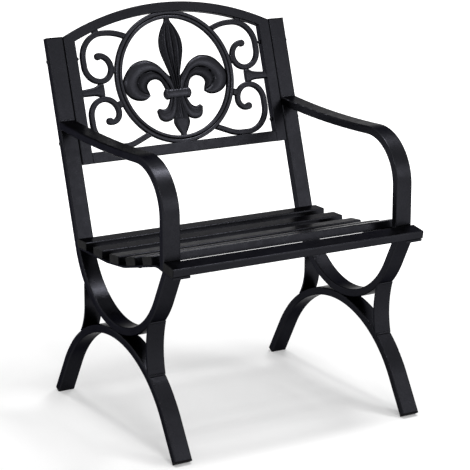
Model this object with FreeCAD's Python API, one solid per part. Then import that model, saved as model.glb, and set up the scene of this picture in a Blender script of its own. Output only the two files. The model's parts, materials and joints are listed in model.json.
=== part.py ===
"""Garden armchair of rectangular steel tube with a cast iron ornament in its back.

Millimetres, +Z up, the sitter looks along -Y. The origin is on the ground under the chair's
middle, and the two side frames mirror each other in the plane x = 0.
"""
import FreeCAD, Part
import math
import os

# Side frame tube: posts, loops, armrests and leg arches
chair_width = 610.0
tube_width = 40.0
tube_depth = 18.0
tube_wall = 1.5
tube_corner = 3.0

# Leg arches, cut square at the feet
arch_radius = 264.0
arch_centre_y = -20.1
leg_lean = 30.9
leg_straight = 89.5
crown_flat = 0.5

# Loops and back posts
loop_radius = 196.0
loop_centre_y = -49.4
recline = 17.6
post_length = 457.3
loop_turn = 134.0

# Seat rails, dished flat bars
rail_thickness = 5.0
rail_corner = 0.8
rail_height = 368.5
rail_bend_radius = 120.0
rail_crest_radius = 60.0

# Seat slats, each with the slope of the rail under it, from the posts to the front
slat_slopes = (0.0, 0.0, 5.4, 14.3, 14.3, -9.0)
slat_width = 40.0
slat_height = 18.0
slat_overhang = 2.0
slat_pitch = 76.5
post_to_slat = 0.3
crest_clearance = 1.0
arm_to_crest = 1.5
slat_plug_lip = 2.0

# Armrests
arm_lean = 0.0
arm_rise = 101.0
arm_bend_radius = 106.0
arm_tilt = 2.6
arm_dish_radius = 2700.0
arm_to_slat = 0.5

# Braces, bowed flat bars
brace_thickness = 5.0
front_brace_top_y = -190.0
front_brace_foot_y = -186.0
front_brace_radius = 200.0
rear_brace_y = 103.0
rear_brace_straight = 43.0
rear_brace_radius = 115.0
rear_brace_turn = 60.0

# Plastic caps and plugs in tube ends
foot_cap_lip = 4.0
foot_flat = 0.8
post_cap_lip = 3.0
plug_depth = 12.0
plug_clearance = 0.1

# Slat bolts, from below through the rails
slat_bolt_diameter = 6.0
slat_bolt_head = 11.0
slat_bolt_head_height = 3.5
slat_bolt_reach = 5.0
bolt_clearance = 0.2

# Back panel frame, heights measured from the bottom rail's top
stile_above_post = 1.7
panel_gap = 1.0
panel_corner = 2.0
stile_width = 27.5
stile_top = 259.0
bottom_rail_height = 24.0
top_rail_height = 22.0
top_rail_rise = 60.0

# Back panel bolts with cap nuts
panel_bolt_diameter = 5.0
panel_bolt_head = 12.0
panel_bolt_head_height = 4.0
panel_bolt_heights = (28.0, 209.0)
cap_nut_width = 8.0
cap_nut_height = 6.2

# Cast iron ornament, its ring let into the bottom and top rail
casting_depth = 12.0
casting_setback = 1.0
casting_corner = 3.5
ring_bite = 3.0
ring_band = 18.5
bead_overlap = 1.0
scroll_bar = 12.7
scroll_to_stile = 8.5
scroll_to_arch = 2.5
scroll_into_rail = 0.3
neck_turn = 50.0
curl_turn = 178.0
tip_turn = 108.0
tip_radius = 8.2
upper_top_length = 6.0
upper_top_radius = 115.0
upper_top_turn = 35.0
arch_tie_turn = 75.0
lower_foot_length = 16.6
lower_foot_radius = 80.0
lower_foot_turn = 22.0
bridge_width = 16.0
bridge_depth = 10.0
bracket_height = 14.5
bracket_waist = 12.0
bracket_spread = 26.0
bracket_flare = 13.0
collar_proud = 1.0
fleur_edge = 4.0
petal_setback = 1.0

# Heights and outer bends of the scrolls, as shares of the panel opening's height at its middle
upper_scroll_share = 0.520
lower_scroll_share = 0.385
bracket_share = 0.442
side_bend_share = 0.128
crown_bend_share = 0.185

# Necks and curls of the scrolls, as shares of the way from the ring to a scroll's outer side
neck_share = 0.485
upper_curl_share = 0.41
lower_curl_share = 0.46
lower_tip_share = 0.288

# Where a curl is tied to the ring, above or below its own middle, as a share of its radius
upper_tie_share = -0.16
lower_tie_share = 0.44

# Outline of the fleur's right half, from the ring's centre in hundredths of its inner radius
spindle_foot = (6.7, -35.8)
spindle_side = ((9.6, 1.1), (21.4, 41.0), (22.8, 55.2), (20.6, 68.8), (13.8, 83.8), (7.1, 93.6), (4.8, 100.4),
                (4.8, 106.0))
petal_foot = (9.8, -34.2)
petal_crotch = (11.4, 1.8)
petal_top = ((18.2, 10.2), (29.0, 22.2), (42.1, 30.1), (56.4, 33.1), (76.3, 28.2), (91.6, 14.7),
             (103.0, -0.4))
petal_bottom = ((103.0, -21.4), (92.3, -27.4), (80.5, -32.0), (69.4, -34.0), (59.5, -31.2), (51.1, -26.0))
petal_hollow = ((55.3, -13.1), (51.9, -6.4), (39.7, -1.6), (28.2, -7.1), (21.8, -22.2))
leaf_foot = (4.5, -34.2)
leaf_side = ((15.3, -34.2), (18.2, -44.8), (21.6, -51.6), (25.2, -54.2), (29.7, -52.6), (34.2, -50.2),
             (39.8, -51.6), (42.7, -57.6), (41.0, -65.8), (36.1, -72.2), (28.9, -74.6), (15.5, -71.2),
             (4.5, -68.0))
stem_side = ((5.7, -40.2), (10.5, -57.6), (15.4, -74.1), (14.8, -81.6), (9.2, -92.1), (5.6, -98.8),
             (5.6, -104.9))
collar_side = ((20.3, -37.2), (26.3, -28.7), (20.3, -20.3))

QUARTER = math.degrees(math.pi / 2)
HALF = 2 * QUARTER
ORIGIN = FreeCAD.Vector(0, 0, 0)
X_AXIS = FreeCAD.Vector(1, 0, 0)
Y_AXIS = FreeCAD.Vector(0, 1, 0)
Z_AXIS = FreeCAD.Vector(0, 0, 1)


def unit(heading):
    """Direction in a flat frame for a heading in degrees."""
    angle = math.radians(heading)
    return FreeCAD.Vector(math.cos(angle), math.sin(angle), 0)


class Path:
    """Lines and tangent arcs in a flat frame, walked from a point at a heading."""

    def __init__(self, start, heading):
        self.start = start
        self.end = start
        self.heading = heading
        self.steps = []

    def line(self, length):
        self.steps.append(("line", self.end, self.heading, length, None, 0.0))
        self.end = self.end + unit(self.heading) * length
        return self

    def arc(self, radius, turn):
        """Turns left by so many degrees, or right where turn is negative."""
        side = math.copysign(QUARTER, turn)
        centre = self.end + unit(self.heading + side) * radius
        length = radius * math.radians(abs(turn))
        self.steps.append(("arc", self.end, self.heading, length, centre, turn))
        self.end = centre - unit(self.heading + turn + side) * radius
        self.heading += turn
        return self

    def at(self, distance):
        """Point and heading so far along the path."""
        for kind, start, heading, length, centre, turn in self.steps:
            if distance <= length:
                break
            distance -= length
        if kind == "line":
            return start + unit(heading) * distance, heading
        share = turn * distance / length
        side = math.copysign(QUARTER, turn)
        return centre - unit(heading + share + side) * (start - centre).Length, heading + share


def cornered(start, heading, legs):
    """Path through corners: each leg is its length, the turn at its end and that bend's radius."""
    path = Path(start, heading)
    used = 0.0
    for length, turn, radius in legs:
        reach = radius * math.tan(math.radians(abs(turn) / 2))
        path.line(length - used - reach)
        if turn:
            path.arc(radius, turn)
        used = reach
    return path


def rounded_rectangle(width, height, corner):
    """Face in the plane of Y (width) and Z (height), centred on the origin."""
    y, z = width / 2, height / 2
    if corner <= 0:
        points = [(-y, -z), (y, -z), (y, z), (-y, z), (-y, -z)]
        return Part.Face(Part.makePolygon([FreeCAD.Vector(0, a, b) for a, b in points]))
    bow = corner * (1 - math.sqrt(0.5))
    edges = []
    for sy, sz in ((1, -1), (1, 1), (-1, 1), (-1, -1)):
        side = FreeCAD.Vector(0, sy * y, sz * (z - corner))
        end = FreeCAD.Vector(0, sy * (y - corner), sz * z)
        middle = FreeCAD.Vector(0, sy * (y - bow), sz * (z - bow))
        first, last = (end, side) if sy * sz < 0 else (side, end)
        edges.append((first, middle, last))
    outline_edges = []
    for index, (first, middle, last) in enumerate(edges):
        following = edges[(index + 1) % len(edges)][0]
        outline_edges.append(Part.Arc(first, middle, last).toShape())
        outline_edges.append(Part.LineSegment(last, following).toShape())
    return Part.Face(Part.Wire(outline_edges))


def section(depth, width, corner, wall=0.0, offset=0.0):
    """Cross-section for a path that leaves along X: depth across the path, width along Z."""
    face = rounded_rectangle(depth, width, corner)
    if wall:
        hollow = rounded_rectangle(depth - 2 * wall, width - 2 * wall, max(corner - wall, 0))
        face = face.cut(hollow).Faces[0]
    face.translate(FreeCAD.Vector(0, offset, 0))
    return face


def sweep(path, cross_section):
    """Solid of a cross-section carried along a path."""
    pieces = []
    for kind, start, heading, length, centre, turn in path.steps:
        face = cross_section.copy()
        face.rotate(ORIGIN, Z_AXIS, heading)
        face.translate(start)
        if kind == "line":
            pieces.append(face.extrude(unit(heading) * length))
        else:
            axis = Z_AXIS * math.copysign(1.0, turn)
            pieces.append(face.revolve(centre, axis, abs(turn)))
    shape = pieces[0]
    if len(pieces) > 1:
        shape = pieces[0].multiFuse(pieces[1:]).removeSplitter()
    return shape.Solids[0]


def beyond(point, heading):
    """Everything past a line through a point, square to a heading."""
    size = 4 * chair_width
    block = Part.makeBox(size, 2 * size, 2 * size, FreeCAD.Vector(0, -size, -size))
    block.rotate(ORIGIN, Z_AXIS, heading)
    block.translate(point)
    return block


def disc(centre, radius):
    """Cylinder square to the flat frame, wider than the chair."""
    return Part.makeCylinder(radius, 2 * chair_width, centre - Z_AXIS * chair_width, Z_AXIS)


def reach_line(point, heading, on, along):
    """Distance from a point along a heading to the line through on."""
    ray = unit(heading)
    wall = unit(along)
    gap = on - point
    return (gap.x * wall.y - gap.y * wall.x) / (ray.x * wall.y - ray.y * wall.x)


def flat_face(start, *steps):
    """Closed face: a step of one point is a line, of two an arc, of more a smooth curve."""
    here = FreeCAD.Vector(start[0], start[1], 0)
    edges = []
    for step in steps:
        points = [here] + [FreeCAD.Vector(x, y, 0) for x, y in step]
        if len(points) == 2:
            edges.append(Part.LineSegment(points[0], points[1]).toShape())
        elif len(points) == 3:
            edges.append(Part.Arc(points[0], points[1], points[2]).toShape())
        else:
            curve = Part.BSplineCurve()
            curve.interpolate(points)
            edges.append(curve.toShape())
        here = points[-1]
    return Part.Face(Part.Wire(edges))


def across(shape):
    """The same shape on the other side of the chair's middle."""
    return shape.mirror(ORIGIN, X_AXIS)


def union(first, *others):
    return first.multiFuse(list(others)).removeSplitter()


def stand(shape, x):
    """Stands a side view up at x: flat X goes to Y, flat Y to Z and the flat frame's Z to X."""
    upright = shape.copy()
    upright.rotate(ORIGIN, FreeCAD.Vector(1, 1, 1), 120)
    upright.translate(FreeCAD.Vector(x, 0, 0))
    return upright


def domed(radius, rim, height, shank=0.0, length=0.0):
    """Head on the plane z = 0 with a straight rim and a spherical top, and a shank below it."""
    corners = [FreeCAD.Vector(0, 0, -length), FreeCAD.Vector(radius, 0, 0), FreeCAD.Vector(radius, 0, rim)]
    if shank:
        corners[1:1] = [FreeCAD.Vector(shank, 0, -length), FreeCAD.Vector(shank, 0, 0)]
    sphere = (radius ** 2 + (height - rim) ** 2) / (2 * (height - rim))
    half_angle = math.atan2(radius, sphere - height + rim) / 2
    shoulder = FreeCAD.Vector(sphere * math.sin(half_angle), 0, height - sphere * (1 - math.cos(half_angle)))
    top = FreeCAD.Vector(0, 0, height)
    edges = [Part.LineSegment(first, last).toShape() for first, last in zip(corners, corners[1:])]
    edges.append(Part.Arc(corners[-1], shoulder, top).toShape())
    edges.append(Part.LineSegment(top, corners[0]).toShape())
    return Part.Face(Part.Wire(edges)).revolve(ORIGIN, Z_AXIS, 2 * HALF)


def end_cap(width, height, corner, lip, wall):
    """Cap on a tube's end at the plane x = 0: lip outside, plug inside a wall."""
    outside = rounded_rectangle(height, width, corner).extrude(X_AXIS * lip)
    slack = 2 * (wall + plug_clearance)
    plug = rounded_rectangle(height - slack, width - slack, corner - wall - plug_clearance)
    return union(outside, plug.extrude(X_AXIS * -plug_depth))


def tube(path):
    return sweep(path, section(tube_depth, tube_width, tube_corner, tube_wall))


def envelope(path):
    """The tube's space with sharp corners, which other pieces are cut to meet."""
    return sweep(path, section(tube_depth, tube_width, 0))


# Leg arch
foot_height = tube_depth / 2 * math.sin(math.radians(leg_lean)) - foot_flat
arch_centre_z = (foot_height + (leg_straight + foot_cap_lip) * math.cos(math.radians(leg_lean))
                 - arch_radius * math.sin(math.radians(leg_lean)))
arch_centre = FreeCAD.Vector(arch_centre_y, arch_centre_z, 0)
arch_outside = arch_radius + tube_depth / 2
leg_heading = QUARTER + leg_lean
rear_shoulder = arch_centre + unit(leg_lean) * arch_radius
arch_path = Path(rear_shoulder - unit(leg_heading) * leg_straight, leg_heading)
arch_path.line(leg_straight).arc(arch_radius, HALF - 2 * leg_lean).line(leg_straight)

# Loop, resting on the arch's crown, and post
loop_outside = loop_radius + tube_depth / 2
centre_reach = arch_outside + loop_outside - crown_flat
loop_centre = FreeCAD.Vector(loop_centre_y, 0, 0)
loop_centre.y = arch_centre_z + math.sqrt(centre_reach ** 2 - (loop_centre_y - arch_centre_y) ** 2)
post_heading = QUARTER - recline
post_foot = loop_centre + unit(-recline) * loop_radius
post_face = post_foot - unit(-recline) * (tube_depth / 2)
post_top = post_foot + unit(post_heading) * post_length

# Seat rail's top, walked from inside the post to the front
rail_start_y = post_foot.x + (rail_height - post_foot.y) * math.tan(math.radians(recline))
rail_inside = tube_depth / 2 / math.cos(math.radians(recline))
first_slat = rail_inside + post_to_slat + slat_width / 2
slat_places = [first_slat + index * slat_pitch for index in range(len(slat_slopes) - 1)]
crest_turn = slat_slopes[-2] - slat_slopes[-1]
crest_reach = rail_crest_radius * math.tan(math.radians(crest_turn / 2))
crest_place = slat_places[-1] + slat_width / 2 + crest_reach + crest_clearance
arm_room = tube_depth / math.cos(math.radians(slat_slopes[-1] + arm_lean)) + arm_to_slat
slat_places.append(crest_place + crest_reach + arm_to_crest + arm_room + slat_width / 2)
rail_length = slat_places[-1] + slat_width / 2


def rail_path():
    legs = []
    before = 0.0
    for index in range(len(slat_slopes) - 1):
        bend = (slat_places[index] + slat_places[index + 1]) / 2
        last = index == len(slat_slopes) - 2
        if last:
            bend = crest_place
        turn = slat_slopes[index] - slat_slopes[index + 1]
        legs.append((bend - before, turn, rail_crest_radius if last else rail_bend_radius))
        before = bend
    legs.append((rail_length - before, 0.0, 0.0))
    return cornered(FreeCAD.Vector(rail_start_y, rail_height, 0), HALF, legs)


rail_top = rail_path()
front_point, front_heading = rail_top.at(rail_length - slat_width / 2)
front_up = front_heading - QUARTER
above_front = beyond(front_point - unit(front_up) * rail_thickness, front_up).cut(beyond(loop_centre, 0))


def loop_path():
    """From the post's top down, round under the seat and up past the rail's underside."""
    path = Path(post_top, post_heading - HALF).line(post_length).arc(loop_radius, -loop_turn)
    length = reach_line(path.end, path.heading, front_point, front_heading)
    return path.line(length + tube_depth)


def arm_path():
    """From below the rail's top, directly behind the front slat, up and back to the post."""
    place = rail_length - slat_width - arm_room / 2 - arm_to_slat / 2
    foot, _ = rail_top.at(place)
    heading = QUARTER + arm_lean
    path = Path(foot - unit(heading) * tube_depth, heading).line(tube_depth + arm_rise)
    path.arc(arm_bend_radius, -(heading + arm_tilt))
    reach = reach_line(path.end, path.heading, post_foot, post_heading)
    return path.arc(arm_dish_radius, math.degrees((reach + tube_depth) / arm_dish_radius))


loop_line = loop_path()
arm_line = arm_path()


def bolt_places():
    """Where the slat bolts cross the rail's top, with the direction that points up there."""
    places = []
    for place in slat_places:
        point, heading = rail_top.at(place)
        places.append((point, heading - QUARTER))
    return places


def bolt_bore(point, up, diameter):
    """Bore square to the rail at a point of its top."""
    reach = slat_height / 2
    return Part.makeCylinder(diameter / 2, 2 * reach, point - unit(up) * reach, unit(up))


def panel_bore(height, diameter):
    """Bore along X through a post and a stile, in the chair's frame."""
    point = panel_point(0, height, -tube_depth / 2)
    start = chair_width / 2 - tube_width - panel_gap - stile_width - cap_nut_height
    return Part.makeCylinder(diameter / 2, chair_width, FreeCAD.Vector(start, point.y, point.z), X_AXIS)


def panel_point(x, height, depth):
    """A point of the back panel's flat frame, whose depth is counted from the posts' front."""
    along = post_length + stile_above_post - stile_top + height
    base = post_face + unit(post_heading) * along + unit(post_heading + QUARTER) * depth
    return FreeCAD.Vector(x, base.x, base.y)


def lean_back(shape, depth):
    """Takes a flat panel piece to its place in the back, its middle so deep behind the posts' front."""
    leaning = shape.copy()
    leaning.rotate(ORIGIN, X_AXIS, post_heading)
    leaning.translate(panel_point(0, 0, -depth))
    return leaning


side_x = (chair_width - tube_width) / 2
frame_depth = tube_depth / 2
cast_depth = casting_setback + casting_depth / 2


def post_and_loop():
    shape = stand(tube(loop_line).cut(above_front), side_x)
    for height in panel_bolt_heights:
        shape = shape.cut(panel_bore(height, panel_bolt_diameter + 2 * bolt_clearance))
    return shape.Solids[0]


def leg_arch():
    return stand(tube(arch_path).cut(envelope(loop_line)), side_x).Solids[0]


def armrest():
    shape = tube(arm_line).cut(beyond(front_point, front_up + HALF))
    return stand(shape.cut(beyond(post_face, -recline)), side_x).Solids[0]


def seat_rail():
    bar = sweep(rail_top, section(rail_thickness, tube_width, rail_corner, 0, rail_thickness / 2))
    bar = bar.cut(envelope(loop_line).cut(above_front))
    for point, up in bolt_places():
        bar = bar.cut(bolt_bore(point, up, slat_bolt_diameter + 2 * bolt_clearance))
    return stand(bar, side_x).Solids[0]


def between_tubes(path):
    """Flat bar along a path, trimmed to the outsides of the loop and the arch."""
    bar = sweep(path, section(brace_thickness, tube_width, 0))
    bar = bar.cut(disc(loop_centre, loop_outside)).cut(disc(arch_centre, arch_outside))
    return stand(bar, side_x).Solids[0]


def on_circle(centre, radius, y, side):
    """Point of a circle at y, below its centre or above it."""
    return FreeCAD.Vector(y, centre.y + side * math.sqrt(radius ** 2 - (y - centre.x) ** 2), 0)


def front_brace():
    top = on_circle(loop_centre, loop_outside, front_brace_top_y, -1)
    foot = on_circle(arch_centre, arch_outside, front_brace_foot_y, 1)
    chord = foot - top
    heading = math.degrees(math.atan2(chord.y, chord.x))
    half_turn = math.degrees(math.asin(chord.Length / 2 / front_brace_radius))
    extra = math.degrees(tube_depth / 2 / front_brace_radius)
    first = heading + half_turn
    centre = top + unit(first - QUARTER) * front_brace_radius
    start = centre + unit(first + extra + QUARTER) * front_brace_radius
    return between_tubes(Path(start, first + extra).arc(front_brace_radius, -2 * (half_turn + extra)))


def rear_brace():
    top = on_circle(loop_centre, loop_outside, rear_brace_y, -1)
    path = Path(top + Y_AXIS * tube_depth, -QUARTER).line(tube_depth + rear_brace_straight)
    return between_tubes(path.arc(rear_brace_radius, rear_brace_turn))


def seat_slat(place):
    """Tube across the chair on the rails."""
    point, heading = rail_top.at(place)
    up = heading - QUARTER
    length = chair_width + 2 * (slat_overhang - slat_plug_lip)
    face = section(slat_height, slat_width, tube_corner, tube_wall)
    face.rotate(ORIGIN, Y_AXIS, QUARTER)
    face.rotate(ORIGIN, Z_AXIS, heading)
    face.translate(point + unit(up) * (slat_height / 2))
    slat = stand(face.extrude(Z_AXIS * length), -length / 2)
    bore = bolt_bore(point, up, slat_bolt_diameter)
    return slat.cut(stand(bore, side_x)).cut(stand(bore, -side_x)).Solids[0]


def slat_plug(place):
    """Plug in a slat's end on the +X side."""
    point, heading = rail_top.at(place)
    cap = end_cap(slat_width, slat_height, tube_corner, slat_plug_lip, tube_wall)
    cap.rotate(ORIGIN, Y_AXIS, -QUARTER)
    cap.rotate(ORIGIN, Z_AXIS, heading)
    cap.translate(point + unit(heading - QUARTER) * (slat_height / 2))
    return stand(cap, chair_width / 2 + slat_overhang - slat_plug_lip)


def slat_bolt(point, up):
    """Bolt with its head under the rail and its end inside the slat."""
    bolt = domed(slat_bolt_head / 2, slat_bolt_head_height / 3, slat_bolt_head_height,
                 slat_bolt_diameter / 2, rail_thickness + slat_bolt_reach)
    bolt.rotate(ORIGIN, Y_AXIS, -QUARTER)
    bolt.rotate(ORIGIN, Z_AXIS, up)
    bolt.translate(point - unit(up) * rail_thickness)
    return stand(bolt, side_x)


def tube_cap(point, heading, lip):
    cap = end_cap(tube_width, tube_depth, tube_corner, lip, tube_wall)
    cap.rotate(ORIGIN, Z_AXIS, heading)
    cap.translate(point)
    return cap


def foot_cap(point, heading):
    return stand(tube_cap(point, heading, foot_cap_lip).cut(beyond(ORIGIN, -QUARTER)), side_x)


# Back panel frame in its flat frame
panel_half = chair_width / 2 - tube_width - panel_gap
stile_inside = panel_half - stile_width
top_apex = stile_top + top_rail_rise
top_radius = (panel_half ** 2 + top_rail_rise ** 2) / (2 * top_rail_rise)
top_centre = FreeCAD.Vector(0, top_apex - top_radius, 0)
under_top = top_radius - top_rail_height
mitre = FreeCAD.Vector(panel_half, stile_top, 0)
mitre_inside = on_circle(top_centre, under_top, stile_inside, 1)
mitre_heading = math.degrees(math.atan2(mitre.y - mitre_inside.y, mitre.x - mitre_inside.x))


def panel_section(height):
    return section(height, tube_depth, panel_corner, tube_wall)


def stile():
    middle = (panel_half + stile_inside) / 2
    path = Path(FreeCAD.Vector(middle, -bottom_rail_height, 0), QUARTER).line(bottom_rail_height + top_apex)
    shape = sweep(path, panel_section(stile_width)).cut(beyond(mitre, mitre_heading + QUARTER))
    shape = lean_back(shape, frame_depth)
    for height in panel_bolt_heights:
        shape = shape.cut(panel_bore(height, panel_bolt_diameter + 2 * bolt_clearance))
    return shape.Solids[0]


def bottom_rail():
    path = Path(FreeCAD.Vector(-stile_inside, -bottom_rail_height / 2, 0), 0).line(2 * stile_inside)
    return lean_back(sweep(path, panel_section(bottom_rail_height)), frame_depth)


def top_rail():
    radius = top_radius - top_rail_height / 2
    side = math.degrees(math.acos((panel_half + top_rail_height) / radius))
    path = Path(top_centre + unit(side) * radius, side + QUARTER).arc(radius, HALF - 2 * side)
    shape = sweep(path, panel_section(top_rail_height)).cut(beyond(mitre, mitre_heading - QUARTER))
    shape = shape.cut(across(beyond(mitre, mitre_heading - QUARTER)))
    return lean_back(shape, frame_depth).Solids[0]


def panel_bolt(height):
    point = panel_point(chair_width / 2, height, -frame_depth)
    length = tube_width + panel_gap + stile_width + cap_nut_height / 2
    bolt = domed(panel_bolt_head / 2, panel_bolt_head_height / 4, panel_bolt_head_height,
                 panel_bolt_diameter / 2, length)
    bolt.rotate(ORIGIN, Y_AXIS, QUARTER)
    bolt.translate(point)
    return bolt


def cap_nut(height):
    """Hexagon with a domed end on a stile's inner side."""
    point = panel_point(stile_inside, height, -frame_depth)
    corner = cap_nut_width / 2 / math.cos(math.radians(30))
    corners = [unit(60 * index) * corner for index in range(7)]
    base = Part.Face(Part.makePolygon(corners)).extrude(Z_AXIS * (cap_nut_height / 2))
    dome = domed(cap_nut_width * 0.45, cap_nut_height / 2, cap_nut_height)
    bore = Part.makeCylinder(panel_bolt_diameter / 2, cap_nut_height / 2)
    nut = union(base, dome).cut(bore)
    nut.rotate(ORIGIN, Y_AXIS, -QUARTER)
    nut.translate(point)
    return nut.Solids[0]


# Ornament in the panel's flat frame
opening_height = top_apex - top_rail_height
ring_centre = FreeCAD.Vector(0, opening_height / 2, 0)
ring_radius = opening_height / 2 + ring_bite
ring_inside = ring_radius - ring_band
above_rail = beyond(ORIGIN, -QUARTER)
under_arch = disc(top_centre, under_top)
outer_x = stile_inside - scroll_to_stile - scroll_bar / 2
side_room = outer_x - ring_radius
neck_x = ring_radius + neck_share * side_room
upper_neck = FreeCAD.Vector(neck_x, upper_scroll_share * opening_height, 0)
lower_neck = FreeCAD.Vector(neck_x, lower_scroll_share * opening_height, 0)
side_radius = side_bend_share * opening_height
crown_radius = crown_bend_share * opening_height
neck_out = unit(neck_turn)
neck_radius = (outer_x - neck_x - side_radius * (1 - neck_out.y)) / neck_out.y
neck_rise = neck_radius * (1 - neck_out.x) + side_radius * neck_out.x
crown_x = outer_x - crown_radius
crown_reach = under_top - crown_radius - scroll_bar / 2 - scroll_to_arch
crown_centre = on_circle(top_centre, crown_reach, crown_x, 1)
upper_side_length = crown_centre.y - upper_neck.y - neck_rise
lower_side_length = lower_neck.y - neck_rise - crown_radius - scroll_bar / 2 + scroll_into_rail
upper_curl_radius = upper_curl_share * side_room
lower_curl_radius = lower_curl_share * side_room


def cast_bar(path, width, corner=casting_corner):
    return sweep(path, section(width, casting_depth, corner))


def ring():
    """Two beads side by side with a groove between them."""
    radius = ring_radius - ring_band / 2
    path = Path(ring_centre + X_AXIS * radius, QUARTER).arc(radius, 2 * HALF)
    bead = (ring_band + bead_overlap) / 2
    beads = [sweep(path, section(bead, casting_depth, casting_corner, 0, side * (ring_band - bead) / 2))
             for side in (1, -1)]
    return union(*beads).common(under_arch).cut(above_rail).Solids[0]


def curl_tip(path):
    """Round bud at a curl's end, flush with the curl's outer side."""
    inward = QUARTER if path.steps[-1][5] > 0 else -QUARTER
    centre = path.end + unit(path.heading + inward) * (tip_radius - scroll_bar / 2)
    bud = Part.makeCylinder(tip_radius, casting_depth, centre - Z_AXIS * (casting_depth / 2), Z_AXIS)
    rims = [edge for edge in bud.Edges if len(edge.Vertexes) == 1]
    return bud.makeFillet(casting_corner, rims)


def upper_curl():
    return Path(upper_neck, HALF).arc(upper_curl_radius, -curl_turn)


def upper_arm():
    """Out from the neck, up beside the stile, over under the arch and down to the ring."""
    path = Path(upper_neck, 0).arc(neck_radius, neck_turn).arc(side_radius, QUARTER - neck_turn)
    path.line(upper_side_length).arc(crown_radius, QUARTER).line(upper_top_length)
    return path.arc(upper_top_radius, upper_top_turn).line(ring_band + scroll_bar)


def lower_curl():
    path = Path(lower_neck, HALF).arc(lower_curl_radius, QUARTER)
    return path.arc(lower_tip_share * side_room, tip_turn)


def lower_arm():
    """Out from the neck, down beside the stile and along the bottom rail to the ring."""
    path = Path(lower_neck, 0).arc(neck_radius, -neck_turn).arc(side_radius, neck_turn - QUARTER)
    path.line(lower_side_length).arc(crown_radius, -QUARTER).line(lower_foot_length)
    return path.arc(lower_foot_radius, -lower_foot_turn).line(ring_radius / 2)


def bridge(point, heading, length):
    """Short web that ties a scroll to its neighbour."""
    path = Path(point, heading).line(length)
    return sweep(path, section(bridge_width, bridge_depth, casting_corner))


def scroll(arm, curl, corner, ties):
    solid = cast_bar(arm, scroll_bar, corner)
    solid = union(solid, cast_bar(curl, scroll_bar, corner), curl_tip(curl), *ties)
    return solid.cut(disc(ring_centre, ring_radius)).cut(above_rail).common(under_arch).Solids[0]


def radial_tie(centre, curl_radius, rise):
    """Web from a curl's outside toward the ring's middle."""
    point = centre + FreeCAD.Vector(-math.sqrt(1 - rise ** 2), rise, 0) * curl_radius
    toward = ring_centre - point
    heading = math.degrees(math.atan2(toward.y, toward.x))
    return bridge(point, heading, toward.Length - ring_radius + ring_band / 2)


def upper_scroll(corner):
    tie = radial_tie(upper_neck + Y_AXIS * upper_curl_radius, upper_curl_radius, upper_tie_share)
    crown = crown_centre + unit(arch_tie_turn) * crown_radius
    top = bridge(crown, arch_tie_turn, 2 * scroll_bar)
    return scroll(upper_arm(), upper_curl(), corner, (tie, top))


def lower_scroll(corner):
    tie = radial_tie(lower_neck - Y_AXIS * lower_curl_radius, lower_curl_radius, lower_tie_share)
    return scroll(lower_arm(), lower_curl(), corner, (tie,))


def bracket():
    """Bar from the stile that flares into the necks of both scrolls."""
    middle = bracket_share * opening_height
    top = middle + bracket_height / 2
    base = middle - bracket_height / 2
    shoulder = neck_x + bracket_waist / 2 + bracket_flare
    right = neck_x + bracket_spread / 2
    left = neck_x - bracket_spread / 2
    waist = neck_x - bracket_waist / 2
    bend = neck_x + bracket_waist / 2 + bracket_flare * (1 - math.sqrt(0.5))
    upper_bend = top + (upper_neck.y - top) * (1 - math.sqrt(0.5))
    lower_bend = base + (lower_neck.y - base) * (1 - math.sqrt(0.5))
    face = flat_face((stile_inside + tube_depth, base), ((stile_inside + tube_depth, top),),
                     ((shoulder, top),), ((bend, upper_bend), (right, upper_neck.y)), ((left, upper_neck.y),),
                     ((waist, middle), (left, lower_neck.y)), ((right, lower_neck.y),),
                     ((bend, lower_bend), (shoulder, base)), ((stile_inside + tube_depth, base),))
    shape = slab(face, casting_depth, casting_corner).cut(beyond(X_AXIS * stile_inside, 0))
    return shape.cut(upper_scroll(0)).cut(lower_scroll(0)).Solids[0]


def slab(face, depth, edge, eased=(Part.BSplineCurve, Part.Circle, Part.Line)):
    """Plate of a flat face, its middle in the ornament's middle plane, its rims of these kinds eased."""
    plate = face.extrude(Z_AXIS * depth)
    plate.translate(Z_AXIS * (-depth / 2))
    rims = [rim for rim in plate.Edges if abs(abs(rim.CenterOfMass.z) - depth / 2) < depth / 100]
    return plate.makeFillet(edge, [rim for rim in rims if isinstance(rim.Curve, eased)])


def in_ring(points):
    """Outline points in millimetres in the panel's flat frame."""
    return [(x * ring_inside / 100, ring_centre.y + y * ring_inside / 100) for x, y in points]


def symmetric_face(points):
    """Face between a smooth right side and its mirror image."""
    start = points[0]
    left = [(-x, y) for x, y in reversed(points)]
    return flat_face(start, points[1:], (left[0],), left[1:], (start,))


def fleur():
    spindle = symmetric_face(in_ring((spindle_foot,) + spindle_side))
    stem = symmetric_face(in_ring((leaf_foot,) + stem_side))
    foot, crotch = in_ring((petal_foot, petal_crotch))
    bottom = in_ring(petal_bottom)
    petal = flat_face(foot, (crotch,), in_ring(petal_top), (bottom[0],), bottom[1:], in_ring(petal_hollow),
                      (foot,))
    foot, = in_ring((leaf_foot,))
    side = in_ring(leaf_side)
    leaf = flat_face(foot, (side[0],), side[1:], (foot,))
    base, end, top = in_ring(collar_side)
    left_base, left_end, left_top = ((-x, y) for x, y in (base, end, top))
    collar = flat_face(left_base, (base,), (end, top), (left_top,), (left_end, left_base))
    plates = [slab(face, casting_depth, fleur_edge, Part.BSplineCurve) for face in (spindle, stem)]
    for face in (petal, leaf):
        plate = slab(face, casting_depth - 2 * petal_setback, fleur_edge, Part.BSplineCurve)
        plates += [plate, across(plate)]
    plates.append(slab(collar, casting_depth + 2 * collar_proud, fleur_edge))
    return union(*plates).common(disc(ring_centre, ring_inside)).Solids[0]


def pair(shape):
    return shape, across(shape)


def both_sides(shapes):
    return Part.makeCompound(list(shapes) + [across(shape) for shape in shapes])


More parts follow.
